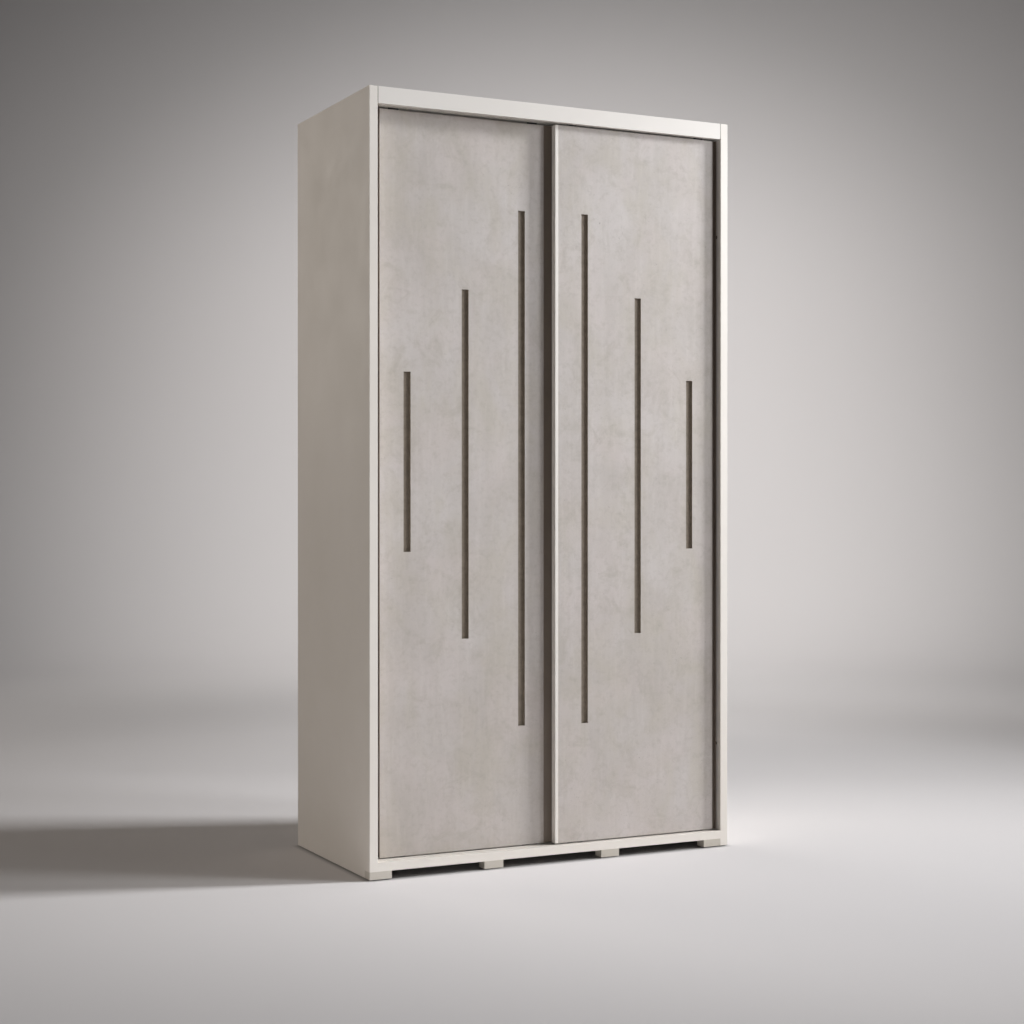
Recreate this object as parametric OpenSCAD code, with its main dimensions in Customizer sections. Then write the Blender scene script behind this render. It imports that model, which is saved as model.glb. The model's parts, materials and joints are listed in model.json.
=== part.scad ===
// Two-door sliding wardrobe: laminated carcass, two bottom-running doors on two tracks, fitted inside.
// Millimetres, +Z up, X along the width, the doors face -Y, the origin is on the floor under the middle.

/* [Carcass] */
// Width across the two side panels
width = 1200; // [1180:10:1240]
// Height from the floor to the top
height = 2250; // [2200:10:2300]
// Depth from the front edge to the rear joint strip
depth = 600; // [580:10:640]
// Thickness of the side, top and bottom panels
board_t = 25; // [24.5:0.5:26]
// Thickness of the shelves and the divider
shelf_t = 18; // [18:1:20]
// Height of the fascia in front of the top track
fascia_h = 48; // [48:1:60]
// Height of the bottom panel above the floor
foot_h = 25; // [22:1:30]
// Set-back of the divider and shelves behind the front edge
inner_setback = 90; // [90:1:110]

/* [Doors] */
// Set-back of the front door's face behind the front edge
front_door_setback = 18; // [18:1:20]
// Set-back of the rear door's face behind the front edge
rear_door_setback = 45; // [45:1:47]
// Gap between a closed door and the upright beside it
side_gap = 5; // [4:0.5:6]
// Running gap between a door and the bottom panel
bottom_gap = 4; // [3.5:0.5:5]
// Running gap between a door and the top track
top_gap = 6; // [5:0.5:8]
// Width of the stile that the rear door closes against
stile_w = 6; // [5:1:8]
// Width of the handle profile's lips on the front door
handle_lip_w = 10; // [8:1:12]
// Width of the overlap profile's lips on the rear door
overlap_lip_w = 26; // [22:1:28]
// Width of the outer closing profiles
closing_w = 13.5; // [13:0.5:16]
// Width of the overlap flange on the rear door
overlap_w = 16; // [14:1:20]

/* [Grooves] */
// Width of each milled groove
groove_w = 22; // [16:1:26]
// Depth of each milled groove
groove_depth = 7.5; // [5:0.5:9]
// Distance from the door's outer edge to the middle of the first groove
groove_margin = 98.5; // [90:0.5:110]
// Distance between the middles of neighbouring grooves
groove_pitch = 184.5; // [170:0.5:190]
// Length of the outer groove
outer_groove = 519; // [400:1:600]
// Length of the middle groove
middle_groove = 1021; // [900:1:1100]
// Length of the inner groove
inner_groove = 1529; // [1400:1:1700]
// Height of the middle of the outer groove
outer_groove_z = 1189; // [1100:1:1250]
// Height of the middle of the middle groove
middle_groove_z = 1184; // [1100:1:1250]
// Height of the middle of the inner groove
inner_groove_z = 1173; // [1100:1:1250]

/* [Interior] */
// Underside height of the two fixed top shelves
top_shelf_z = 1880; // [1860:10:1900]
// Top height of the first adjustable shelf
first_shelf_z = 418; // [400:1:440]
// Distance from one adjustable shelf to the next
shelf_step = 366; // [350:1:366]
// Distance from the hanging rail's middle up to the shelf
rail_drop = 60; // [55:1:80]

/* [Feet] */
// Width of the foot at the left front corner
corner_foot_w = 68; // [64:1:80]
// Width of every other foot
foot_w = 61; // [50:1:70]
// Depth of every foot
foot_d = 38; // [34:1:45]
// Left edge of the second foot
foot_2_x = -240; // [-260:5:-220]
// Left edge of the third foot
foot_3_x = 150; // [130:5:170]

/* [Hidden] */
$fn = 48;
fit = 0.05;                                 // gap around each fastener in its hole
back_t = 3;                                 // rear panel thickness
strip_t = 1;                                // rear joint strip flange thickness
strip_w = 24;
band_t = 1;                                 // edge band thickness
front = -depth / 2;                         // y of the front plane
carcass_d = depth - back_t - strip_t;       // set-back of the carcass boards' rear edges
inner_x = width / 2 - board_t;              // x of a side panel's inner face
floor_z = foot_h + board_t;                 // top of the bottom panel
roof_z = height - board_t;                  // underside of the top panel
half_div = shelf_t / 2;                     // x of a divider face
fascia_t = 18;
fascia_gap = 0.4;                           // joint between the fascia and each side panel
glide_r = 9;
glide_h = 3;                                // height of the glides under the feet and the side panels
glide_pin = [1.5, 8];                       // radius and length of a glide's pin

track_t = 1.6;                              // wall of the top track
track_h = 21;                               // height of the top track
track_d0 = fascia_t + 1;                    // set-back of the top track's front
track_d1 = 76;                              // set-back of the top track's rear
slot_w = 6;                                 // slot that each top guide runs in
track_z = roof_z - track_h;                 // underside of the top track
rail_w = 12;                                // width of a bottom track
rail_h = 7;                                 // depth of a bottom track in the panel
channel_w = 8;                              // running channel in a bottom track

profile_d = 23;                             // depth of a door with its profiles
wall = 1.5;                                 // wall of the edge profiles
board_inset = 0.5;                          // door board behind the profiles' faces
door_t = profile_d - 2 * board_inset;       // thickness of a door board
door_mid = profile_d / 2;
lap = 1;                                    // how far the door edges pass each other
door_w = (2 * inner_x - stile_w - 2 * side_gap + lap) / 2;
door_z0 = floor_z + bottom_gap;
door_z1 = track_z - top_gap;
left_door_x = -inner_x + stile_w + side_gap;
right_door_x = inner_x - side_gap;
groove_lengths = [outer_groove, middle_groove, inner_groove];
groove_heights = [outer_groove_z, middle_groove_z, inner_groove_z];
lip_d = 3;                                  // outer lip of a closing profile
finger_d = 8;                               // depth of its finger groove
finger_w = closing_w - lip_d - 2.5;
tongue_d = finger_d + 2;                    // front of the board's tongue behind the finger groove
brush_d0 = 15;
brush_w = 5;
brush_root = 2;
edge_pile = side_gap - 0.3;                 // pile that stands out of a door's outer edge
lap_pile = 3.4;                             // pile between the two doors
flange_t = 3;

roller_u = [70, door_w - 70];               // rollers along a door, from its outer edge
guide_u = [60, door_w - 60];                // top guides along a door
wheel_r = 16;
wheel_w = 6;
axle_r = 2.5;
wheel_gap = 0.3;                            // wheel above the track's floor
wheel_z = floor_z - rail_h + 1 + wheel_gap + wheel_r;
housing = [50, 14, 42];                     // roller housing, along, through and up
housing_z = door_z0 - 2;
wheel_slot = [36, 7.4, 26];
guide = [40, 14, 24];
fin = [30, 5.2, 14];

pin_r = 2.5;
pin_len = 9;
pin_rows = [inner_setback + 45, carcass_d - 55];
hole_step = 32;
cam_reach = 34;                             // from an upright's face to the middle of the cam
cam_r = 7.5;
dowel_r = 4;
dowel_len = 30;
cam_rows = [110, carcass_d - 70];
dowel_rows = [142, carcass_d - 102];
shelf_zs = [for (i = [0:3]) first_shelf_z - shelf_t + i * shelf_step];
rail_y = (inner_setback + carcass_d) / 2;
rail_z = top_shelf_z - rail_drop;
rail_size = [15, 30];                       // hanging rail, through and up
plate_t = 3;
bracket_x = 450;
bracket = [30, 40, 50, 2.5];                // width, top leg, wall leg, thickness
anchor_r = 3;
anchor_drop = 30;
stile_d = 30;
stile_screw_zs = [300, 1120, 1940];
track_screw_xs = [-500, -180, 180, 500];

// Cam joints: [face of the upright, side of it that the shelf is on, set-back, shelf underside,
// shelf thickness]
function cams_between(x0, x1, rows, z, t) =
    [for (d = rows) each [[x0, 1, d, z, t], [x1, -1, d, z, t]]];
cams_top = cams_between(-inner_x, inner_x, cam_rows, roof_z, board_t);
cams_bottom = cams_between(-inner_x, inner_x, cam_rows, foot_h, board_t);
cams_shelf_left = cams_between(-inner_x, -half_div, [170, 500], top_shelf_z, shelf_t);
cams_shelf_right = cams_between(half_div, inner_x, [210, 460], top_shelf_z, shelf_t);
CAMS = concat(cams_top, cams_bottom, cams_shelf_left, cams_shelf_right);

// Dowels: [start x, start set-back, start z, axis]
side_dowels = [
    for (side = [-1, 1], d = dowel_rows, z = [foot_h + board_t / 2, roof_z + board_t / 2])
        [side * inner_x - (side < 0 ? 12 : 18), d, z, 0]
];
fascia_dowels = [for (x = [-420, -140, 140, 420]) [x, fascia_t - 10, roof_z + board_t / 2, 1]];
divider_dowels = [for (d = [150, 520], z = [floor_z - 12, roof_z - 18]) [0, d, z, 2]];
DOWELS = concat(side_dowels, fascia_dowels, divider_dowels);

// Nails through the rear panels: [x, z]
nail_zs = [for (i = [0:7]) 110 + i * (height - 220) / 7];
nail_xs = [-480, -300, -120, 120, 300, 480];
NAILS = concat(
    [for (side = [-1, 1], z = nail_zs) [side * (width - board_t) / 2, z]],
    [for (x = nail_xs, z = [foot_h + board_t / 2, height - board_t / 2]) [x, z]]
);

// Feet: [left edge, width, set-back]
FRONT_FEET = [
    [-width / 2, corner_foot_w, 0],
    [foot_2_x, foot_w, 0],
    [foot_3_x, foot_w, 0],
    [inner_x - foot_w, foot_w, 0]
];
rear_foot_d = carcass_d - foot_d - 18;
REAR_FEET = [for (x = [-inner_x, foot_2_x, foot_3_x, inner_x - foot_w]) [x, foot_w, rear_foot_d]];

// Glides under the middle of each foot and along the side panels: [x, set-back]
GLIDES = concat(
    [[-width / 2 + 18, foot_d / 2]],
    [for (f = concat([for (i = [1:3]) FRONT_FEET[i]], REAR_FEET)) [f[0] + f[1] / 2, f[2] + foot_d / 2]],
    [for (side = [-1, 1], d = [200, carcass_d - 36]) [side * (width - board_t) / 2, d]],
    [[(width - board_t) / 2, 24]]
);

// ---- Shared shapes ----

// A box between two x values, two set-backs behind the front plane and two heights
module slab(x0, x1, d0, d1, z0, z1) {
    translate([x0, front + d0, z0]) cube([x1 - x0, d1 - d0, z1 - z0]);
}

// A 2D slot shape, w across and h up, with round ends
module stadium(w, h) {
    square([w, h - w], center = true);
    for (s = [-1, 1]) translate([0, s * (h - w) / 2]) circle(d = w);
}

// A countersunk screw pointing down, its head flush with z = 0
module screw_solid(r, len, head_r, gap = 0) {
    translate([0, 0, -len - gap]) cylinder(r = r + gap, h = len + gap);
    translate([0, 0, r - head_r]) cylinder(r1 = r + gap, r2 = head_r + gap, h = head_r - r);
}

module screw(r, len, head_r) {
    difference() {
        screw_solid(r, len, head_r);
        for (a = [0, 90]) rotate(a) translate([-head_r * 0.55, -0.4, -1.2]) cube([head_r * 1.1, 0.8, 2]);
    }
}

module at_cam(c) {
    translate([c[0], front + c[2], c[3] + c[4] / 2]) mirror([c[1] < 0 ? 1 : 0, 0, 0]) children();
}

// The bolt that screws into the upright and hooks into the cam
module cam_bolt() {
    rotate([0, 90, 0]) {
        translate([0, 0, -11]) cylinder(r = 2.5, h = 11);
        cylinder(r = 3.5, h = 26);
        translate([0, 0, 26]) cylinder(r = 2.2, h = 4.5);
        translate([0, 0, 30.5]) cylinder(r = 3.2, h = 3);
    }
}

module cam_lock(t) {
    difference() {
        translate([cam_reach, 0, -t / 2]) cylinder(r = cam_r, h = t / 2 + 3.5);
        translate([20, 0, 0]) rotate([0, 90, 0]) cylinder(r = 3.7, h = 15);
        for (a = [0, 90]) translate([cam_reach, 0, -t / 2]) rotate(a) cube([8, 1.4, 4], center = true);
    }
}

// Holes for a cam joint in the upright, and in the board that it holds
module cam_cut_upright(c) {
    at_cam(c) rotate([0, 90, 0]) translate([0, 0, -11.2]) cylinder(r = 2.5 + fit, h = 12);
}

module cam_cut_board(c) {
    at_cam(c) {
        translate([-1, 0, 0]) rotate([0, 90, 0]) cylinder(r = 4, h = cam_reach);
        translate([cam_reach, 0, -c[4] / 2 - 1]) cylinder(r = cam_r + fit, h = c[4] / 2 + 4.6);
    }
}

module dowel(e, gap = 0) {
    translate([e[0], front + e[1], e[2]])
        rotate(e[3] == 0 ? [0, 90, 0] : e[3] == 1 ? [-90, 0, 0] : [0, 0, 0])
            translate([0, 0, -gap]) cylinder(r = dowel_r + gap, h = dowel_len + 2 * gap);
}

module dowel_cuts(list) {
    for (e = list) dowel(e, fit);
}

module nail_cuts() {
    for (n = NAILS)
        translate([n[0], front + carcass_d - 15.1, n[1]]) rotate([-90, 0, 0]) cylinder(r = 0.85, h = 25);
}

// Places for the shelf pins: on the divider's right face and the right side panel
module at_pins(zs) {
    for (z = zs, d = pin_rows) {
        translate([half_div, front + d, z]) children();
        translate([inner_x, front + d, z]) mirror([1, 0, 0]) children();
    }
}

module pin_hole_cuts() {
    zs = [for (z = shelf_zs, k = [-1:1]) z - pin_r + k * hole_step];
    at_pins(zs) translate([-pin_len - 0.1, 0, 0]) rotate([0, 90, 0])
        cylinder(r = pin_r + fit, h = pin_len + 0.2);
}

// The two ends of the hanging rail, each looking into the compartment
module at_rail_ends() {
    translate([-inner_x, front + rail_y, rail_z]) children();
    translate([-half_div, front + rail_y, rail_z]) mirror([1, 0, 0]) children();
}

module at_rail_screws() {
    at_rail_ends() for (s = [-1, 1]) translate([plate_t, 0, s * 24]) rotate([0, 90, 0]) children();
}

module at_stile_screws() {
    for (z = stile_screw_zs)
        translate([-inner_x + stile_w, front + rear_door_setback + 21, z]) rotate([0, 90, 0]) children();
}

module at_brackets() {
    for (s = [-1, 1]) translate([s * bracket_x, front + carcass_d, roof_z]) children();
}

module at_bracket_screws() {
    at_brackets() for (s = [-1, 1]) translate([s * 8, -28, -bracket[3]]) rotate([180, 0, 0]) children();
}

module at_track_screws() {
    for (x = track_screw_xs, d = [front_door_setback, rear_door_setback])
        translate([x, front + d + door_mid, roof_z - track_t]) rotate([180, 0, 0]) children();
}

// A glide pushed into a foot or the underside of a side panel, or the space that it takes up
module glides(gap = 0) {
    for (g = GLIDES) translate([g[0], front + g[1], 0]) {
        cylinder(r = glide_r + gap, h = glide_h);
        cylinder(r = glide_pin[0] + gap, h = glide_h + glide_pin[1] + gap);
    }
}

function foot_screw_xs(f) =
    f[1] == corner_foot_w ? [f[0] + board_t + 12, f[0] + f[1] - 12] : [f[0] + 14, f[0] + f[1] - 14];

module at_foot_screws(feet) {
    for (f = feet, x = foot_screw_xs(f))
        translate([x, front + f[2] + foot_d / 2, glide_h + 1]) rotate([180, 0, 0]) children();
}

// Screw sizes: [shank radius, length, head radius]
rail_screw = [1.75, 14, 3.5];
stile_screw = [2, 22, 4];
bracket_screw = [2, 18, 4];
track_screw = [1.6, 16, 3];
foot_screw = [2.25, 35, 4.5];
door_screw = [1.75, 10, 3.5];

// ---- Carcass ----

module side_panel_cuts(side) {
    for (c = CAMS) if (c[0] == side * inner_x) cam_cut_upright(c);
    dowel_cuts(side_dowels);
    nail_cuts();
    glides(fit);
}

module side_panel_left() {
    color("#cdc6bb") difference() {
        slab(-width / 2, -inner_x, band_t, carcass_d, glide_h, height);
        slab(-width / 2 - 1, -inner_x + 1, -1, foot_d, -1, foot_h);
        side_panel_cuts(-1);
        at_rail_screws() screw_solid(rail_screw[0], rail_screw[1], rail_screw[2], fit);
        at_stile_screws() screw_solid(stile_screw[0], stile_screw[1], stile_screw[2], fit);
    }
}

module side_panel_right() {
    color("#cdc6bb") difference() {
        slab(inner_x, width / 2, band_t, carcass_d, glide_h, height);
        side_panel_cuts(1);
        pin_hole_cuts();
    }
}

module edge_band_left() {
    color("#d8d1c7") slab(-width / 2, -inner_x, 0, band_t, foot_h, height);
}

module edge_band_right() {
    color("#d8d1c7") slab(inner_x, width / 2, 0, band_t, glide_h, height);
}

module bottom_panel() {
    color("#cdc6bb") difference() {
        slab(-inner_x, inner_x, band_t, carcass_d, foot_h, floor_z);
        for (d = [front_door_setback, rear_door_setback])
            slab(-inner_x - 1, inner_x + 1,
                 d + door_mid - rail_w / 2 - fit, d + door_mid + rail_w / 2 + fit,
                 floor_z - rail_h, floor_z + 1);
        for (c = cams_bottom) cam_cut_board(c);
        dowel_cuts(DOWELS);
        nail_cuts();
        at_foot_screws(concat(FRONT_FEET, REAR_FEET))
            screw_solid(foot_screw[0], foot_screw[1], foot_screw[2], fit);
    }
}

module bottom_edge_band() {
    color("#d8d1c7") slab(-inner_x, inner_x, 0, band_t, foot_h, floor_z);
}

module top_panel() {
    color("#cdc6bb") difference() {
        slab(-inner_x, inner_x, fascia_t, carcass_d, roof_z, height);
        for (c = cams_top) cam_cut_board(c);
        dowel_cuts(DOWELS);
        nail_cuts();
        at_track_screws() screw_solid(track_screw[0], track_screw[1], track_screw[2], fit);
        at_bracket_screws() screw_solid(bracket_screw[0], bracket_screw[1], bracket_screw[2], fit);
    }
}

module front_fascia() {
    color("#d8d1c7") difference() {
        slab(-inner_x + fascia_gap, inner_x - fascia_gap, 0, fascia_t, height - fascia_h, height);
        dowel_cuts(fascia_dowels);
    }
}

module centre_divider() {
    color("#cdc6bb") difference() {
        slab(-half_div, half_div, inner_setback, carcass_d, floor_z, roof_z);
        for (c = CAMS) if (abs(c[0]) == half_div) cam_cut_upright(c);
        dowel_cuts(divider_dowels);
        pin_hole_cuts();
        at_rail_screws() screw_solid(rail_screw[0], rail_screw[1], rail_screw[2], fit);
    }
}

module rear_panel(side) {
    x0 = side < 0 ? -width / 2 + 2 : 1;
    color("#d9d5cd") difference() {
        slab(x0, x0 + width / 2 - 3, carcass_d, carcass_d + back_t, foot_h + 2, height - 2);
        nail_cuts();
        at_brackets() translate([0, -5, -anchor_drop]) rotate([-90, 0, 0]) cylinder(r = anchor_r, h = 20);
    }
}

module rear_panel_left() {
    rear_panel(-1);
}

module rear_panel_right() {
    rear_panel(1);
}

// T strip that covers the joint between the rear panels
module rear_joint_strip() {
    color("#e8e6e1") union() {
        slab(-1, 1, carcass_d, depth, foot_h + 2, height - 2);
        slab(-strip_w / 2, strip_w / 2, depth - strip_t, depth, foot_h + 2, height - 2);
    }
}

module rear_panel_nails() {
    color("#8a8d8f") for (n = NAILS) translate([n[0], front + carcass_d, n[1]]) rotate([-90, 0, 0]) {
        translate([0, 0, -15]) cylinder(r = 0.8, h = 15 + back_t);
        translate([0, 0, back_t]) cylinder(r = 3.5, h = 0.8);
    }
}

// ---- Interior ----

module top_shelf(x0, x1, cams) {
    color("#cdc6bb") difference() {
        slab(x0, x1, inner_setback, carcass_d, top_shelf_z, top_shelf_z + shelf_t);
        for (c = cams) cam_cut_board(c);
    }
}

module top_shelf_left() {
    top_shelf(-inner_x, -half_div, cams_shelf_left);
}

module top_shelf_right() {
    top_shelf(half_div, inner_x, cams_shelf_right);
}

module shelf(i) {
    color("#cdc6bb")
        slab(half_div + 1.3, inner_x - 1.3, inner_setback + 5, carcass_d - 1,
             shelf_zs[i], shelf_zs[i] + shelf_t);
}

module shelf_pins() {
    color("#b9bcbe") at_pins([for (z = shelf_zs) z - pin_r]) rotate([0, 90, 0]) {
        translate([0, 0, -pin_len]) cylinder(r = pin_r, h = pin_len + 9);
        cylinder(r = 4, h = 1);
    }
}

module hanging_rail() {
    color("#c9cccf") translate([-inner_x + plate_t, front + rail_y, rail_z]) rotate([90, 0, 90])
        linear_extrude(inner_x - half_div - 2 * plate_t) difference() {
            stadium(rail_size[0], rail_size[1]);
            stadium(rail_size[0] - 2.4, rail_size[1] - 2.4);
        }
}

module rail_supports() {
    color("#c9cccf") difference() {
        at_rail_ends() rotate([90, 0, 90]) {
            linear_extrude(plate_t) stadium(22, 64);
            linear_extrude(plate_t + 12) difference() {
                stadium(rail_size[0] + 3.2, rail_size[1] + 3.2);
                stadium(rail_size[0] + 0.2, rail_size[1] + 0.2);
            }
        }
        at_rail_screws() screw_solid(rail_screw[0], rail_screw[1], rail_screw[2], fit);
    }
}

// ---- Tracks, stile and buffers ----

module top_track() {
    mid = (track_d0 + track_d1) / 2 + 0.8;
    color("#d4d2cd") difference() {
        slab(-inner_x + 0.5, inner_x - 0.5, track_d0, track_d1, track_z, roof_z);
        slab(-inner_x, inner_x, track_d0 + track_t, mid - track_t, track_z + track_t, roof_z - track_t);
        slab(-inner_x, inner_x, mid, track_d1 - track_t, track_z + track_t, roof_z - track_t);
        for (d = [front_door_setback, rear_door_setback])
            slab(-inner_x, inner_x, d + door_mid - slot_w / 2, d + door_mid + slot_w / 2,
                 track_z - 1, track_z + 3);
        at_track_screws() screw_solid(track_screw[0], track_screw[1], track_screw[2], fit);
    }
}

module top_track_screws() {
    color("#8a8d8f") at_track_screws() screw(track_screw[0], track_screw[1], track_screw[2]);
}

module bottom_track(setback) {
    mid = setback + door_mid;
    color("#bdb7ad") difference() {
        slab(-inner_x, inner_x, mid - rail_w / 2, mid + rail_w / 2, floor_z - rail_h, floor_z);
        slab(-inner_x - 1, inner_x + 1, mid - channel_w / 2, mid + channel_w / 2,
             floor_z - rail_h + 1, floor_z + 1);
    }
}

module bottom_track_front() {
    bottom_track(front_door_setback);
}

module bottom_track_rear() {
    bottom_track(rear_door_setback);
}

module closing_stile() {
    color("#cdc6bb") difference() {
        slab(-inner_x, -inner_x + stile_w, rear_door_setback, rear_door_setback + stile_d,
             floor_z, track_z - 1);
        at_stile_screws() screw_solid(stile_screw[0], stile_screw[1], stile_screw[2], fit);
    }
}

// Pads that the doors come to rest against at both ends of their travel
module door_buffers() {
    places = [[-inner_x, front_door_setback, 0], [-inner_x + stile_w, rear_door_setback, 0],
              [inner_x, front_door_setback, 1], [inner_x, rear_door_setback, 1]];
    color("#3f3d3a") for (p = places, z = [320, 1900])
        translate([p[0], front + p[1] + 7, z]) mirror([p[2], 0, 0])
            rotate([0, 90, 0]) cylinder(r = 5, h = edge_pile);
}

// ---- Feet and fittings ----

module foot(f) {
    color("#b7b0a3") difference() {
        slab(f[0], f[0] + f[1], f[2], f[2] + foot_d, glide_h, foot_h);
        at_foot_screws([f]) {
            screw_solid(foot_screw[0], foot_screw[1], foot_screw[2], fit);
            cylinder(r = foot_screw[2] + fit, h = 2);
        }
        glides(fit);
    }
}

module rear_feet() {
    for (f = REAR_FEET) foot(f);
}

module foot_screws() {
    color("#8a8d8f") at_foot_screws(concat(FRONT_FEET, REAR_FEET))
        screw(foot_screw[0], foot_screw[1], foot_screw[2]);
}

module floor_glides() {
    color("#4a4744") glides();
}

module cam_locks() {
    color("#9a9c9e") for (c = CAMS) at_cam(c) cam_lock(c[4]);
}

module cam_bolts() {
    color("#8a8d8f") for (c = CAMS) at_cam(c) cam_bolt();
}

module dowels() {
    color("#d2b48c") for (e = DOWELS) dowel(e);
}

// Angle brackets under the top panel, with a hole for the wall fixing
module wall_brackets() {
    color("#b9bcbe") difference() {
        at_brackets() {
            translate([-bracket[0] / 2, -bracket[1], -bracket[3]])
                cube([bracket[0], bracket[1], bracket[3]]);
            translate([-bracket[0] / 2, -bracket[3], -bracket[2]])
                cube([bracket[0], bracket[3], bracket[2]]);
        }
        at_brackets() translate([0, -5, -anchor_drop]) rotate([-90, 0, 0]) cylinder(r = anchor_r, h = 20);
        at_bracket_screws() screw_solid(bracket_screw[0], bracket_screw[1], bracket_screw[2], fit);
    }
}

module fitting_screws() {
    color("#8a8d8f") {
        at_rail_screws() screw(rail_screw[0], rail_screw[1], rail_screw[2]);
        at_stile_screws() screw(stile_screw[0], stile_screw[1], stile_screw[2]);
        at_bracket_screws() screw(bracket_screw[0], bracket_screw[1], bracket_screw[2]);
    }
}

// ---- Doors ----
// Both doors are drawn from their outer edge inwards: x is the distance from that edge, y from the face.

module at_left_door() {
    translate([left_door_x, front + rear_door_setback, 0]) children();
}

module at_right_door() {
    translate([right_door_x, front + front_door_setback, 0]) mirror([1, 0, 0]) children();
}

module upright(x0, x1, y0, y1) {
    translate([x0, y0, door_z0]) cube([x1 - x0, y1 - y0, door_z1 - door_z0]);
}

module at_door_screws() {
    for (u = roller_u, s = [-1, 1])
        translate([u + s * 15, board_inset + door_t, housing_z + 34]) rotate([-90, 0, 0]) children();
    for (u = guide_u)
        translate([u, board_inset + door_t, door_z1 - guide[2] / 2]) rotate([-90, 0, 0]) children();
}

module door_screw_cuts() {
    at_door_screws() screw_solid(door_screw[0], door_screw[1], door_screw[2], fit);
}

// lip is the width of the inner profile's lips
module door_board(lip) {
    color("#b3aba3") difference() {
        union() {
            upright(closing_w, door_w - lip, board_inset, board_inset + door_t);
            upright(lip_d, closing_w + 1, tongue_d, profile_d - wall);
            upright(door_w - lip - 1, door_w - wall, wall, profile_d - wall);
        }
        for (i = [0:2]) translate([groove_margin + i * groove_pitch - groove_w / 2, -1,
                                   groove_heights[i] - groove_lengths[i] / 2])
            cube([groove_w, groove_depth + board_inset + 1, groove_lengths[i]]);
        for (u = roller_u)
            translate([u - housing[0] / 2 - fit, door_mid - housing[1] / 2 - fit, door_z0 - 1])
                cube([housing[0] + 2 * fit, housing[1] + 2 * fit,
                      housing_z + housing[2] + fit - door_z0 + 1]);
        for (u = guide_u)
            translate([u - guide[0] / 2 - fit, door_mid - guide[1] / 2 - fit, door_z1 - guide[2] - fit])
                cube([guide[0] + 2 * fit, guide[1] + 2 * fit, guide[2] + 1]);
        door_screw_cuts();
    }
}

// Outer edge profile with a finger groove in its face and a brush in its edge
module closing_profile() {
    color("#453c35") difference() {
        upright(0, closing_w, 0, profile_d);
        translate([lip_d, -1, door_z0 - 1]) cube([finger_w, finger_d + 1, door_z1 - door_z0 + 2]);
        translate([lip_d, tongue_d, door_z0 - 1])
            cube([closing_w, profile_d - wall - tongue_d, door_z1 - door_z0 + 2]);
        translate([-1, brush_d0, door_z0 - 1]) cube([brush_root + 1, brush_w, door_z1 - door_z0 + 2]);
    }
}

// Channel that wraps the board's inner edge
module inner_channel(lip) {
    difference() {
        upright(door_w - lip, door_w, 0, profile_d);
        translate([door_w - lip - 1, wall, door_z0 - 1])
            cube([lip + 1 - wall, profile_d - 2 * wall, door_z1 - door_z0 + 2]);
    }
}

module handle_profile() {
    color("#d8d1c7") inner_channel(handle_lip_w);
}

// The same channel with a flange that reaches behind the front door
module overlap_profile() {
    color("#453c35") difference() {
        union() {
            inner_channel(overlap_lip_w);
            upright(door_w - 1, door_w + overlap_w, 0, flange_t);
        }
        translate([door_w + 6, -1, door_z0 - 1]) cube([brush_w, 1 + wall, door_z1 - door_z0 + 2]);
    }
}

module edge_brush() {
    color("#57524b") upright(-edge_pile, brush_root - fit, brush_d0 + fit, brush_d0 + brush_w - fit);
}

module lap_brush() {
    color("#57524b") upright(door_w + 6 + fit, door_w + 6 + brush_w - fit, -lap_pile, wall - fit);
}

module at_rollers() {
    for (u = roller_u) translate([u, door_mid, 0]) children();
}

module roller_housings() {
    color("#2f2f31") difference() {
        at_rollers() translate([-housing[0] / 2, -housing[1] / 2, housing_z]) cube(housing);
        at_rollers() {
            translate([-wheel_slot[0] / 2, -wheel_slot[1] / 2, housing_z - 1]) cube(wheel_slot + [0, 0, 1]);
            translate([0, 0, wheel_z]) rotate([90, 0, 0])
                cylinder(r = axle_r + 0.02, h = 40, center = true);
        }
        door_screw_cuts();
    }
}

module axles() {
    color("#b9bcbe") at_rollers() translate([0, 0, wheel_z]) rotate([90, 0, 0])
        cylinder(r = axle_r, h = housing[1], center = true);
}

// Grooved-web wheel with a chamfered rim, on its own axle
module wheel(i) {
    half = wheel_w / 2;
    color("#e2ded6") translate([roller_u[i], door_mid, wheel_z]) rotate([90, 0, 0]) rotate_extrude()
        polygon([[axle_r + fit, -half], [6, -half], [6, -2], [12, -2], [12, -half], [wheel_r - 1, -half],
                 [wheel_r, 1 - half], [wheel_r, half - 1], [wheel_r - 1, half], [12, half], [12, 2],
                 [6, 2], [6, half], [axle_r + fit, half]]);
}

module top_guides() {
    color("#2f2f31") difference() {
        for (u = guide_u) translate([u, door_mid, door_z1]) union() {
            translate([-guide[0] / 2, -guide[1] / 2, -guide[2]]) cube(guide);
            translate([-fin[0] / 2, -fin[1] / 2, -1]) cube(fin + [0, 0, 1]);
        }
        door_screw_cuts();
    }
}

module door_screws() {
    color("#8a8d8f") at_door_screws() screw(door_screw[0], door_screw[1], door_screw[2]);
}

// ---- What is drawn ----

side_panel_left();
side_panel_right();
edge_band_left();
edge_band_right();
bottom_panel();
bottom_edge_band();
top_panel();
front_fascia();
centre_divider();
rear_panel_left();
rear_panel_right();
rear_joint_strip();
top_shelf_left();
top_shelf_right();
shelf(0);  // shelf_1
shelf(1);  // shelf_2
shelf(2);  // shelf_3
shelf(3);  // shelf_4
hanging_rail();
rail_supports();
shelf_pins();
top_track();
top_track_screws();
bottom_track_front();
bottom_track_rear();
closing_stile();
door_buffers();
foot(FRONT_FEET[0]);  // front_foot_1
foot(FRONT_FEET[1]);  // front_foot_2
foot(FRONT_FEET[2]);  // front_foot_3
foot(FRONT_FEET[3]);  // front_foot_4
rear_feet();
foot_screws();
floor_glides();
cam_locks();
cam_bolts();
dowels();
rear_panel_nails();
wall_brackets();
fitting_screws();
at_left_door() door_board(overlap_lip_w);  // left_door_board
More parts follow.
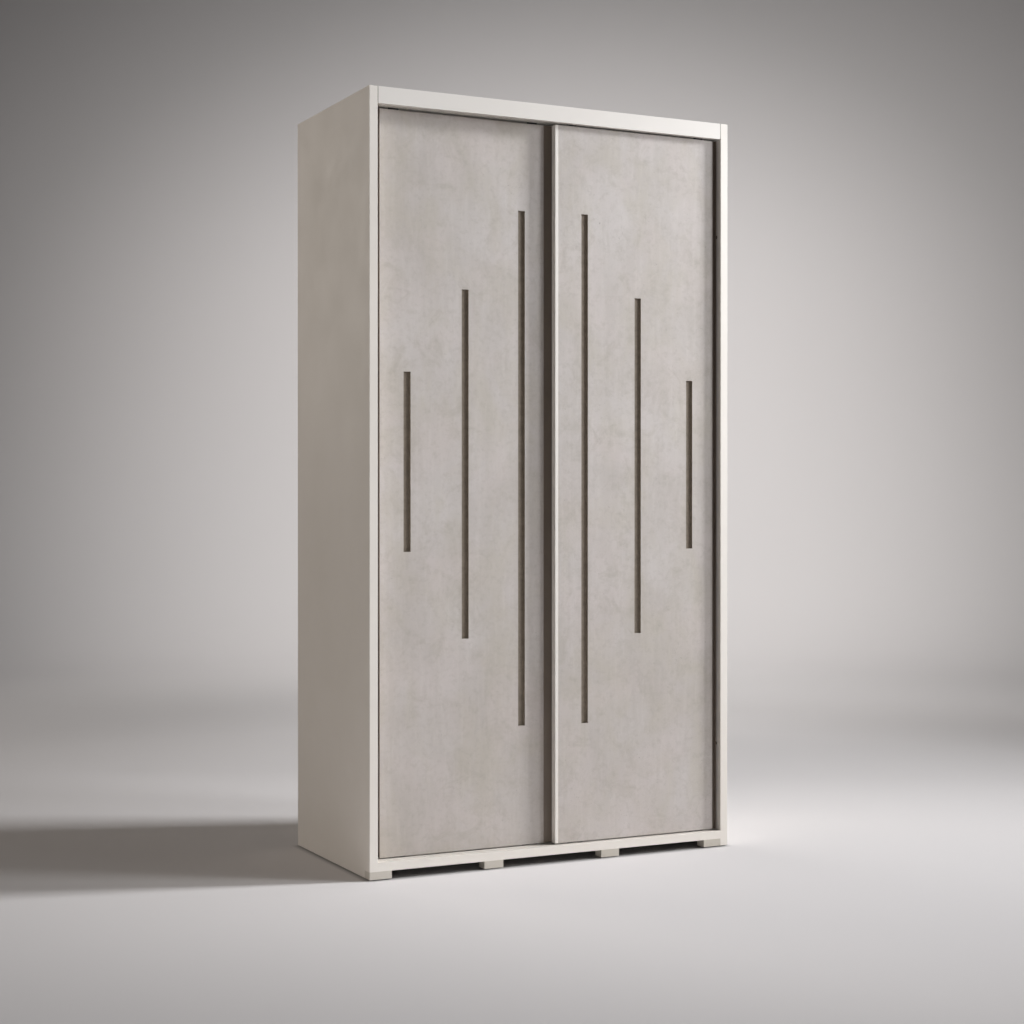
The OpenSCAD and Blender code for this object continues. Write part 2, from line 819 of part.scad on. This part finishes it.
at_left_door() closing_profile();  // left_door_closing_profile
at_left_door() overlap_profile();  // left_door_overlap_profile
at_left_door() {  // left_door_brushes
    edge_brush();
    lap_brush();
}
at_left_door() roller_housings();  // left_door_roller_housings
at_left_door() axles();  // left_door_axles
at_left_door() top_guides();  // left_door_top_guides
at_left_door() door_screws();  // left_door_screws
at_left_door() wheel(0);  // left_door_wheel_1
at_left_door() wheel(1);  // left_door_wheel_2
at_right_door() door_board(handle_lip_w);  // right_door_board
at_right_door() closing_profile();  // right_door_closing_profile
at_right_door() handle_profile();  // right_door_handle_profile
at_right_door() edge_brush();  // right_door_brush
at_right_door() roller_housings();  // right_door_roller_housings
at_right_door() axles();  // right_door_axles
at_right_door() top_guides();  // right_door_top_guides
at_right_door() door_screws();  // right_door_screws
at_right_door() wheel(0);  // right_door_wheel_1
at_right_door() wheel(1);  // right_door_wheel_2
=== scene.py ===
import json
import math

import bmesh
import bpy
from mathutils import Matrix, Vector


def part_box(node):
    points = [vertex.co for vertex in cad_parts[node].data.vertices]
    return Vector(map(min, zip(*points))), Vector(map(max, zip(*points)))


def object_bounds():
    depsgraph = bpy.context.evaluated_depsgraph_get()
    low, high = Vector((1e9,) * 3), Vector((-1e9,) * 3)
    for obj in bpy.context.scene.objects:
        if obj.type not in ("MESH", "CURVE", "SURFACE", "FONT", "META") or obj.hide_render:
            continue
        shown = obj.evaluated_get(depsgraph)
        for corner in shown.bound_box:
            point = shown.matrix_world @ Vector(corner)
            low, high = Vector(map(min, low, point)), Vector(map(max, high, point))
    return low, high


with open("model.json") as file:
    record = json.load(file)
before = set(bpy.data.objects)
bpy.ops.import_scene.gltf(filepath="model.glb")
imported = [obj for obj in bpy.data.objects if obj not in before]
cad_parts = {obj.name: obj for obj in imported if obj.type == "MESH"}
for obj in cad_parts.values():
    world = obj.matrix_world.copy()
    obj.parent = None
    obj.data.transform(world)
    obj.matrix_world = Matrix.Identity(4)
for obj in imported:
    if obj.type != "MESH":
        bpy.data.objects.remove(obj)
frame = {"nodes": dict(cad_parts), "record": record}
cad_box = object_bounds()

nodes = frame["nodes"]
scene = bpy.context.scene
MM = 0.001


# ---- Camera ----

camera = bpy.data.objects.new("camera", bpy.data.cameras.new("camera"))
camera.location = (-2.519, -5.055, 1.067)
camera.rotation_euler = (math.radians(89.751), 0, math.radians(-26.477))
camera.data.lens = 63.63
camera.data.sensor_width = 36
camera.data.clip_end = 100
scene.collection.objects.link(camera)
scene.camera = camera
scene.view_settings.view_transform = "Standard"
scene.view_settings.look = "None"


# ---- Node graphs ----

def srgb(red, green, blue):
    """A colour given as 0 to 255 display values, as linear values with alpha."""
    def linear(v):
        v /= 255
        return v / 12.92 if v <= 0.04045 else ((v + 0.055) / 1.055) ** 2.4
    return (linear(red), linear(green), linear(blue), 1)


class Graph:
    """A material and short calls for the nodes in it."""

    # Where a Mix node keeps its sockets when it mixes colours
    MIX_AMOUNT, MIX_A, MIX_B, MIX_RESULT = 0, 6, 7, 2

    def __init__(self, name, roughness=0.5, metallic=0.0, specular=0.5):
        self.material = bpy.data.materials.new(name)
        self.material.use_nodes = True
        self.tree = self.material.node_tree
        self.shader = self.tree.nodes["Principled BSDF"]
        self.shader.inputs["Roughness"].default_value = roughness
        self.shader.inputs["Metallic"].default_value = metallic
        self.shader.inputs["Specular IOR Level"].default_value = specular
        self.place = self.add("TexCoord").outputs["Object"]

    def add(self, kind, **settings):
        node = self.tree.nodes.new("ShaderNode" + kind)
        for key, value in settings.items():
            setattr(node, key, value)
        return node

    def feed(self, socket, value):
        if isinstance(value, bpy.types.NodeSocket):
            self.tree.links.new(value, socket)
        else:
            socket.default_value = value

    def axes(self):
        """The surface's own coordinates, one socket each for X, Y and Z."""
        node = self.add("SeparateXYZ")
        self.feed(node.inputs[0], self.place)
        return node.outputs

    def stretched(self, x, y, z):
        """The surface's own coordinates, scaled along each axis."""
        mapping = self.add("Mapping")
        self.feed(mapping.inputs["Vector"], self.place)
        mapping.inputs["Scale"].default_value = (x, y, z)
        return mapping.outputs["Vector"]

    def noise(self, scale, detail=3.0, roughness=0.5, distortion=0.0, at=None):
        node = self.add("TexNoise")
        self.feed(node.inputs["Vector"], at or self.place)
        node.inputs["Scale"].default_value = scale
        node.inputs["Detail"].default_value = detail
        node.inputs["Roughness"].default_value = roughness
        node.inputs["Distortion"].default_value = distortion
        return node.outputs["Fac"]

    def cells(self, scale, at=None, output="Distance"):
        node = self.add("TexVoronoi")
        self.feed(node.inputs["Vector"], at or self.place)
        node.inputs["Scale"].default_value = scale
        return node.outputs[output]

    def remap(self, value, low, high, to_low=0.0, to_high=1.0):
        node = self.add("MapRange")
        for name, v in (("Value", value), ("From Min", low), ("From Max", high),
                        ("To Min", to_low), ("To Max", to_high)):
            self.feed(node.inputs[name], v)
        return node.outputs["Result"]

    def within(self, value, low, high, soft):
        """1 where the value lies between low and high, fading to 0 over soft outside them."""
        rise = self.remap(value, low - soft, low)
        fall = self.remap(value, high, high + soft, 1, 0)
        return self.product(rise, fall)

    def math(self, operation, a, b=0.0):
        node = self.add("Math", operation=operation)
        self.feed(node.inputs[0], a)
        self.feed(node.inputs[1], b)
        return node.outputs[0]

    def product(self, first, *others):
        for value in others:
            first = self.math("MULTIPLY", first, value)
        return first

    def mix(self, amount, a, b):
        node = self.add("Mix", data_type="RGBA")
        self.feed(node.inputs[self.MIX_AMOUNT], amount)
        self.feed(node.inputs[self.MIX_A], a)
        self.feed(node.inputs[self.MIX_B], b)
        return node.outputs[self.MIX_RESULT]

    def edges(self, radius):
        """1 within about radius of a sharp edge, 0 away from it."""
        bevel = self.add("Bevel", samples=4)
        bevel.inputs["Radius"].default_value = radius
        geometry = self.add("NewGeometry")
        dot = self.add("VectorMath", operation="DOT_PRODUCT")
        self.feed(dot.inputs[0], bevel.outputs["Normal"])
        self.feed(dot.inputs[1], geometry.outputs["Normal"])
        return self.remap(dot.outputs["Value"], 0.98, 0.75)

    def color(self, value):
        self.feed(self.shader.inputs["Base Color"], value)

    def rough(self, value):
        self.feed(self.shader.inputs["Roughness"], value)

    def bump(self, height, strength, distance):
        """Adds a bump on top of those made before it."""
        node = self.add("Bump")
        node.inputs["Strength"].default_value = strength
        node.inputs["Distance"].default_value = distance
        self.feed(node.inputs["Height"], height)
        if self.shader.inputs["Normal"].is_linked:
            self.feed(node.inputs["Normal"], self.shader.inputs["Normal"].links[0].from_socket)
        self.feed(self.shader.inputs["Normal"], node.outputs["Normal"])


# ---- Materials ----

# How far from a butted end the painted shade of the joint starts, and where it is full
JOINT_SHADE_START, JOINT_SHADE_FULL = 2.2 * MM, 1.2 * MM

# The darker brown of the grooves lies between these depths behind the door board's outermost face,
# and stops short of the board's top and bottom ends
GROOVE_TONE_FROM, GROOVE_TONE_TO, GROOVE_TONE_FADE = 0.7 * MM, 10.5 * MM, 0.4 * MM
GROOVE_TONE_END_GAP, GROOVE_TONE_END_FADE = 5 * MM, 1 * MM


def laminate(name, tone, shade, joint_x=None):
    """Matt melamine laminate: cloudy tone, a fine pearl-like grain and slightly rubbed edges.
    A board that butts against others at both ends gets a painted shade line of the joint there, at
    joint_x from the middle."""
    g = Graph(name, specular=0.35)
    cloud = g.noise(2.2, 4, 0.55)
    grain = g.noise(1400, 2, 0.6)
    base = g.mix(g.remap(cloud, 0.3, 0.7), tone, shade)
    base = g.mix(g.remap(grain, 0.35, 0.65, 0, 0.05), base, srgb(120, 112, 102))
    base = g.mix(g.product(g.edges(1.2 * MM), 0.25), base, srgb(240, 236, 228))
    # Painted shade of the joint: a darker line at each butted end
    if joint_x:
        along = g.math("ABSOLUTE", g.axes()["X"])
        joint_shade = g.remap(along, joint_x - JOINT_SHADE_START, joint_x - JOINT_SHADE_FULL)
        base = g.mix(joint_shade, base, srgb(132, 124, 115))
    g.color(base)
    g.rough(g.remap(g.noise(9, 5, 0.6), 0.3, 0.7, 0.42, 0.54))
    g.bump(grain, 0.06, 0.2 * MM)
    g.bump(g.noise(260, 3, 0.6), 0.03, 0.4 * MM)
    return g.material


def concrete(name, board):
    """Concrete-look laminate: warm and cool clouds, upright drags of the trowel, fine pores.
    Behind the board's face, to the depth of the milling, it is a darker brown."""
    g = Graph(name, specular=0.3)
    cloud = g.noise(2.6, 6, 0.62, 0.35)
    patch = g.noise(7.5, 5, 0.6, 0.6, at=g.stretched(1.0, 1.0, 0.55))
    veil = g.noise(4.4, 5, 0.6, 0.4)
    blotch = g.noise(13, 6, 0.7, 0.8)
    drag = g.noise(16, 4, 0.6, 0.15, at=g.stretched(1.0, 1.0, 0.09))
    fine_drag = g.noise(70, 3, 0.6, 0.1, at=g.stretched(1.0, 1.0, 0.10))
    mottle = g.noise(55, 5, 0.65)
    sand = g.noise(620, 3, 0.7)

    # Over the clouds lie layers: a noise, the range over which it shows, how strongly, and its tone
    base = g.mix(g.remap(cloud, 0.36, 0.64), srgb(184, 176, 170), srgb(198, 191, 187))
    for noise, start, end, strength, tone in (
        (patch, 0.44, 0.62, 0.55, srgb(185, 177, 165)),
        (veil, 0.48, 0.64, 0.55, srgb(200, 190, 186)),
        (blotch, 0.52, 0.70, 0.50, srgb(170, 162, 152)),
        (drag, 0.40, 0.68, 0.18, srgb(164, 156, 146)),
        (fine_drag, 0.48, 0.72, 0.14, srgb(214, 208, 202)),
        (mottle, 0.50, 0.75, 0.35, srgb(160, 152, 143)),
        (sand, 0.40, 0.70, 0.14, srgb(136, 128, 119)),
    ):
        base = g.mix(g.remap(noise, start, end, 0, strength), base, tone)

    # Pores and specks: the middles of scattered cells. Scars: the crests of a twisted noise.
    # Each is kept only where a coarser noise allows it
    pore = g.remap(g.cells(58, at=g.stretched(1.0, 1.0, 0.8)), 0.02, 0.11, 1, 0)
    kept = g.remap(g.cells(58, at=g.stretched(1.0, 1.0, 0.8), output="Color"), 0.62, 0.70)
    pores = g.product(pore, kept, g.remap(g.noise(6, 3), 0.46, 0.6))
    speck = g.remap(g.cells(150), 0.03, 0.14, 1, 0)
    specks = g.product(speck, g.remap(g.noise(11, 3), 0.52, 0.62), 0.6)
    scar = g.remap(g.noise(95, 3, 0.6, 2.2), 0.66, 0.74)
    scars = g.product(scar, g.remap(g.noise(5.2, 4), 0.5, 0.6))
    marks = g.math("MAXIMUM", g.math("MAXIMUM", pores, specks), scars)
    base = g.mix(g.product(marks, 0.55), base, srgb(112, 104, 96))

    low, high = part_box(board)
    axes = g.axes()
    milled = g.product(
        g.within(axes["Y"], low[1] + GROOVE_TONE_FROM, low[1] + GROOVE_TONE_TO, GROOVE_TONE_FADE),
        g.within(axes["Z"], low[2] + GROOVE_TONE_END_GAP, high[2] - GROOVE_TONE_END_GAP, GROOVE_TONE_END_FADE),
    )
    # A darker brown in the grooves, behind the board's face
    groove_tone = g.mix(g.remap(mottle, 0.35, 0.65), srgb(146, 134, 120), srgb(130, 119, 106))
    g.color(g.mix(milled, base, groove_tone))
    g.rough(g.remap(mottle, 0.3, 0.7, 0.52, 0.68))
    g.bump(marks, 0.5, -0.6 * MM)
    g.bump(sand, 0.10, 0.3 * MM)
    g.bump(mottle, 0.08, 1.2 * MM)
    return g.material


def coated_metal(name, tone, worn, roughness, grain=0.05):
    """Powder-coated or anodised profile, brushed along its length and rubbed along its edges."""
    g = Graph(name, roughness=roughness, specular=0.5)
    along = g.noise(900, 3, 0.6, at=g.stretched(1.0, 1.0, 0.012))
    cloud = g.noise(5, 4, 0.5)
    base = g.mix(g.remap(cloud, 0.3, 0.7, 0, 0.3), tone, worn)
    base = g.mix(g.remap(along, 0.4, 0.7, 0, grain * 3), base, worn)
    base = g.mix(g.product(g.edges(0.8 * MM), 0.4), base, worn)
    g.color(base)
    g.rough(g.remap(along, 0.3, 0.7, roughness - 0.06, roughness + 0.08))
    g.bump(along, 0.05, 0.2 * MM)
    return g.material


def bare_metal(name, tone, roughness, blotch):
    """Plated or drawn metal with a faint cloudiness and fine scratches."""
    g = Graph(name, roughness=roughness, metallic=1.0)
    cloud = g.noise(60, 4, 0.6)
    scratch = g.noise(700, 3, 0.7, at=g.stretched(1.0, 1.0, 0.06))
    base = g.mix(g.remap(cloud, 0.35, 0.65, 0, 0.5), tone, blotch)
    g.color(base)
    g.rough(g.remap(scratch, 0.35, 0.7, roughness * 0.8, roughness * 1.5))
    g.bump(scratch, 0.05, 0.1 * MM)
    return g.material


def moulded(name, tone, shade, roughness):
    """Moulded plastic or rubber with a spark-eroded grain."""
    g = Graph(name, roughness=roughness)
    grain = g.noise(1600, 2, 0.6)
    base = g.mix(g.remap(g.noise(30, 3), 0.35, 0.65), tone, shade)
    base = g.mix(g.product(g.edges(0.6 * MM), 0.3), base, shade)
    g.color(base)
    g.rough(g.remap(grain, 0.3, 0.7, roughness - 0.05, roughness + 0.1))
    g.bump(grain, 0.12, 0.2 * MM)
    return g.material


def fibreboard():
    """Thin painted fibreboard: an even film over a faint roller stipple."""
    g = Graph("rear_board", specular=0.3)
    stipple = g.noise(380, 4, 0.65)
    cloud = g.noise(1.6, 5, 0.6)
    base = g.mix(g.remap(cloud, 0.35, 0.65), srgb(224, 220, 212), srgb(214, 209, 200))
    base = g.mix(g.remap(stipple, 0.5, 0.8, 0, 0.2), base, srgb(188, 180, 168))
    g.color(base)
    g.rough(g.remap(stipple, 0.3, 0.7, 0.5, 0.66))
    g.bump(stipple, 0.15, 0.3 * MM)
    return g.material


def beech():
    """Turned beech: long grain with short darker flecks."""
    g = Graph("beech", specular=0.3)
    grain = g.noise(160, 4, 0.6, 0.2, at=g.stretched(0.15, 1.0, 1.0))
    fleck = g.remap(g.cells(260, at=g.stretched(0.3, 1.0, 1.0)), 0.05, 0.25, 1, 0)
    base = g.mix(g.remap(grain, 0.35, 0.65), srgb(214, 178, 132), srgb(190, 150, 105))
    base = g.mix(g.product(fleck, 0.4), base, srgb(140, 100, 62))
    g.color(base)
    g.rough(g.remap(grain, 0.3, 0.7, 0.55, 0.7))
    g.bump(grain, 0.2, 0.2 * MM)
    return g.material


def pile():
    """Dark brush fibre, with light and dark filaments."""
    g = Graph("brush_pile", roughness=0.8, specular=0.2)
    g.shader.inputs["Sheen Weight"].default_value = 0.3
    strand = g.noise(2400, 2, 0.6)
    base = g.mix(g.remap(strand, 0.3, 0.7), srgb(60, 54, 48), srgb(104, 96, 88))
    g.color(base)
    g.rough(g.remap(strand, 0.3, 0.7, 0.7, 0.9))
    g.bump(strand, 0.3, 0.2 * MM)
    return g.material


MATERIALS = {
    "carcass_laminate": laminate("carcass_laminate", srgb(228, 221, 213), srgb(222, 215, 206)),
    "edge_band": laminate("edge_band", srgb(236, 230, 222), srgb(231, 224, 215)),
    "foot_block": laminate("foot_block", srgb(205, 198, 188), srgb(192, 184, 172)),
    "concrete_laminate": concrete("concrete_laminate", "left_door_board"),
    "rear_board": fibreboard(),
    "white_plastic": moulded("white_plastic", srgb(228, 226, 220), srgb(216, 213, 206), 0.4),
    "chrome_tube": bare_metal("chrome_tube", srgb(222, 222, 222), 0.12, srgb(205, 206, 208)),
    "track_metal": coated_metal("track_metal", srgb(224, 218, 209), srgb(232, 228, 221), 0.38),
    "zinc_steel": bare_metal("zinc_steel", srgb(190, 192, 194), 0.32, srgb(165, 168, 172)),
    "cam_zinc": bare_metal("cam_zinc", srgb(172, 172, 172), 0.42, srgb(150, 150, 150)),
    "beech": beech(),
    "buffer_rubber": moulded("buffer_rubber", srgb(62, 58, 54), srgb(82, 78, 73), 0.62),
    "dark_profile": coated_metal("dark_profile", srgb(108, 96, 85), srgb(130, 118, 106), 0.42),
    "light_profile": coated_metal(
        "light_profile", srgb(234, 228, 221), srgb(224, 217, 208), 0.36, grain=0.02
    ),
    "brush_pile": pile(),
    "black_nylon": moulded("black_nylon", srgb(46, 46, 48), srgb(60, 60, 62), 0.45),
    "wheel_nylon": moulded("wheel_nylon", srgb(224, 219, 208), srgb(208, 202, 190), 0.38),
}


# ---- The CAD nodes ----

WELD_DISTANCE = 0.001 * MM
FLAT_ANGLE = math.radians(1)    # faces closer than this to one plane are joined
SHARP_ANGLE = math.radians(40)  # edges that turn more than this are rounded

# The width of the rounding for each material slot; a slot that isn't here stays sharp
BEVELS = {
    "carcass_laminate": 0.5 * MM, "edge_band": 0.5 * MM, "foot_block": 1.0 * MM,
    "concrete_laminate": 0.5 * MM, "rear_board": 0.3 * MM, "white_plastic": 0.2 * MM,
    "track_metal": 0.25 * MM, "dark_profile": 0.4 * MM, "light_profile": 0.5 * MM,
    "black_nylon": 0.5 * MM,
}


def finish_node(name, slot, bevel):
    """Gives a CAD node its material, and rounds its sharp edges by bevel metres."""
    obj = nodes[name]
    obj.data.materials.clear()
    obj.data.materials.append(MATERIALS[slot])
    weld = obj.modifiers.new("weld", "WELD")
    weld.merge_threshold = WELD_DISTANCE
    if bevel:
        flat = obj.modifiers.new("flat", "DECIMATE")
        flat.decimate_type = "DISSOLVE"
        flat.angle_limit = FLAT_ANGLE
        edge = obj.modifiers.new("edge", "BEVEL")
        edge.width = bevel
        edge.segments = 2
        edge.limit_method = "ANGLE"
        edge.angle_limit = SHARP_ANGLE
        edge.harden_normals = True


for entry in frame["record"]["subparts"]:
    slot_name = entry["material_slot"]
    finish_node(entry["node"], slot_name, BEVELS.get(slot_name, 0))

# The front door stands at another depth, so the darker brown of its grooves does too
nodes["right_door_board"].data.materials[0] = concrete("concrete_front_door", "right_door_board")
# The fascia, with painted shade of its joints at both ends
nodes["front_fascia"].data.materials[0] = laminate(
    "fascia", srgb(233, 228, 222), srgb(229, 223, 216), joint_x=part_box("front_fascia")[1][0]
)


# ---- Floor, backdrop and light ----

# Painted pools of light on the studio: a centre on the floor and one near the wall, with the
# painted brightness at distances in metres from there. The floor's gives way to the wall's between
# two distances from the origin.
FLOOR_LIGHT_POOL_CENTRE = (2.3, -0.4, 0.0)
FLOOR_LIGHT_POOL_TONES = [(0, 0.71), (1.0, 0.71), (2.0, 0.73), (3.2, 0.87), (5.0, 0.37), (8.0, 0.7)]
WALL_LIGHT_POOL_CENTRE = (3.4, 6.6, 1.2)
WALL_LIGHT_POOL_TONES = [
    (0, 0.69), (1.8, 0.80), (3.2, 0.68), (4.5, 0.36), (6.4, 0.25), (9.0, 0.15), (13, 0.3)
]
FLOOR_END, WALL_START = 3.0, 8.0
PAINT_GREEN, PAINT_BLUE = 0.96, 0.948  # beside a red of 1

# The painted contact shadow on the floor under the wardrobe: in from its outline, fading outwards,
# and how strongly
CONTACT_SHADOW_INSET, CONTACT_SHADOW_FADE, CONTACT_SHADOW_STRENGTH = 10 * MM, 30 * MM, 0.62


def studio_material():
    """Pale matt painted surface, with painted light: its brightness changes with the distance from
    a point on the floor and from one near the wall, and a painted shadow darkens the floor where
    the wardrobe stands."""
    g = Graph("studio", roughness=0.9, specular=0.1)

    def painted_light_around(centre, tones):
        away = g.add("VectorMath", operation="DISTANCE")
        g.feed(away.inputs[0], g.place)
        away.inputs[1].default_value = centre
        ramp = g.add("ValToRGB")
        ramp.color_ramp.interpolation = "B_SPLINE"
        elements = ramp.color_ramp.elements
        while len(elements) < len(tones):
            elements.new(0.5)
        reach = tones[-1][0]
        for element, (distance, value) in zip(elements, tones):
            element.position = distance / reach
            element.color = (value, value * PAINT_GREEN, value * PAINT_BLUE, 1)
        g.feed(ramp.inputs["Fac"], g.math("DIVIDE", away.outputs["Value"], reach))
        return ramp.outputs["Color"]

    # Painted pools of light: brighter near each centre, darker further off
    floor = painted_light_around(FLOOR_LIGHT_POOL_CENTRE, FLOOR_LIGHT_POOL_TONES)
    wall = painted_light_around(WALL_LIGHT_POOL_CENTRE, WALL_LIGHT_POOL_TONES)
    radius = g.add("VectorMath", operation="LENGTH")
    g.feed(radius.inputs[0], g.place)
    base = g.mix(g.remap(radius.outputs["Value"], FLOOR_END, WALL_START), floor, wall)

    low, high = cad_box
    axes = g.axes()
    # Painted contact shadow: the floor darkened under the wardrobe's outline
    contact_shadow = g.product(
        g.within(axes["X"], low[0] + CONTACT_SHADOW_INSET, high[0] - CONTACT_SHADOW_INSET, CONTACT_SHADOW_FADE),
        g.within(axes["Y"], low[1] + CONTACT_SHADOW_INSET, high[1] - CONTACT_SHADOW_INSET, CONTACT_SHADOW_FADE),
        CONTACT_SHADOW_STRENGTH,
    )
    g.color(g.mix(contact_shadow, base, srgb(40, 38, 36)))
    g.bump(g.noise(220, 3), 0.02, 1 * MM)
    return g.material


def studio():
    """A round studio floor that curves up into a wall all the way round."""
    hub, floor_radius, cove_radius, wall_height = 0.02, 6.6, 2.6, 9.0
    floor_rings, cove_rings, turns = 12, 16, 96
    profile = [(hub, 0)]
    for i in range(1, floor_rings + 1):
        profile.append((floor_radius * i / floor_rings, 0))
    for i in range(1, cove_rings + 1):
        angle = math.pi / 2 * i / cove_rings
        height = cove_radius * (1 - math.cos(angle))
        profile.append((floor_radius + cove_radius * math.sin(angle), height))
    profile.append((floor_radius + cove_radius, wall_height))

    mesh = bmesh.new()
    angles = [math.tau * k / turns for k in range(turns)]
    rings = [
        [mesh.verts.new((radius * math.cos(a), radius * math.sin(a), z)) for a in angles]
        for radius, z in profile
    ]
    for low, high in zip(rings, rings[1:]):
        for k in range(turns):
            j = (k + 1) % turns
            mesh.faces.new((low[k], low[j], high[j], high[k]))
    mesh.faces.new(rings[0])
    for face in mesh.faces:
        face.smooth = True
    bmesh.ops.recalc_face_normals(mesh, faces=mesh.faces)
    data = bpy.data.meshes.new("studio")
    mesh.to_mesh(data)
    mesh.free()
    obj = bpy.data.objects.new("studio", data)
    obj.data.materials.append(studio_material())
    scene.collection.objects.link(obj)


WARM = (1.0, 0.92, 0.83)
COOL = (0.98, 1.0, 1.03)
WHITE = (1.0, 1.0, 1.0)


def area_light(name, place, target, size, watts, spread=180, color=WHITE):
    """A rectangular light that the camera doesn't see, at a place and facing a target."""
    data = bpy.data.lights.new(name, "AREA")
    data.shape = "RECTANGLE"
    data.size, data.size_y = size
    data.energy = watts
    data.spread = math.radians(spread)
    data.color = color
    obj = bpy.data.objects.new(name, data)
    obj.location = place
    obj.rotation_euler = (Vector(target) - Vector(place)).to_track_quat("-Z", "Y").to_euler()
    obj.visible_camera = False
    scene.collection.objects.link(obj)


studio()
area_light("key", (7.0, -2.4, 4.4), (-0.5, 0.3, 1.1), (1.2, 1.4), 94, spread=60, color=COOL)
area_light("key_high", (4.6, -3.6, 3.0), (0.1, -0.3, 1.6), (1.2, 1.4), 27, spread=70, color=COOL)
area_light("front", (-3.5, -6.0, 1.0), (0, 0, 1.2), (2.0, 1.6), 56)
area_light("left", (-5.2, 0.5, 1.5), (-0.6, 0, 1.2), (2.0, 2.4), 21, color=WARM)
area_light("back_left", (-3.6, 4.6, 2.6), (-0.6, 0, 1.2), (2.0, 2.4), 56, color=WARM)
area_light("above", (2.8, -2.2, 5.2), (1.0, 0, 0), (3.0, 3.0), 35)
area_light("wall", (2.3, 3.6, 4.0), (5.0, 8.2, 0.3), (3.0, 2.0), 210)
